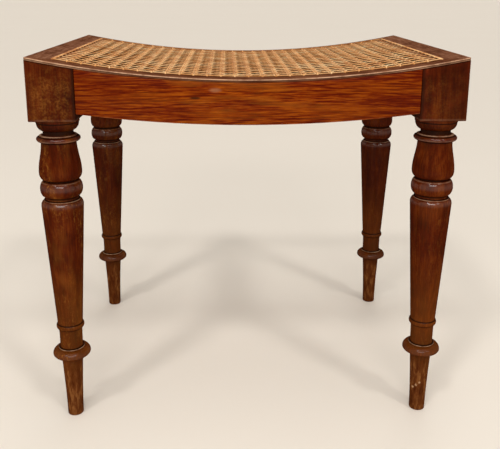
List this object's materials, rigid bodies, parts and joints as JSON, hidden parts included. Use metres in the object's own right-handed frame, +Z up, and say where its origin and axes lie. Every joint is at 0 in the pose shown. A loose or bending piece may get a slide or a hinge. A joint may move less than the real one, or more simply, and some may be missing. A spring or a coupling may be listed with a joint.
{
  "type": "dressing stool",
  "caption": "Dressing stool with turned tapering legs, a dished rectangular seat frame and an open woven cane seat.",
  "frame": {"origin": "on the floor, under the middle of the seat", "axes": "+X along the long side of the seat, to the right of someone who faces the front; -Y is the front; +Z up"},
  "size_m": [0.5, 0.38, 0.4597],
  "materials": {
    "leg_mahogany": "dark reddish brown, polished, worn at arrises",
    "rail_mahogany": "orange brown with straight streaked grain, polished",
    "frame_mahogany": "greyish brown, satin, worn",
    "cane": "golden split cane, satin, woven"
  },
  "bodies": {
    "root": {"leg_front_left": "leg_mahogany", "leg_front_right": "leg_mahogany", "leg_back_left": "leg_mahogany", "leg_back_right": "leg_mahogany", "rail_front": "rail_mahogany", "rail_back": "rail_mahogany", "rail_left": "rail_mahogany", "rail_right": "rail_mahogany", "frame_front": "frame_mahogany", "frame_back": "frame_mahogany", "frame_left": "frame_mahogany", "frame_right": "frame_mahogany", "binder_front": "cane", "binder_back": "cane", "binder_left": "cane", "binder_right": "cane", "cane_panel": "cane"}
  },
  "joints": []
}
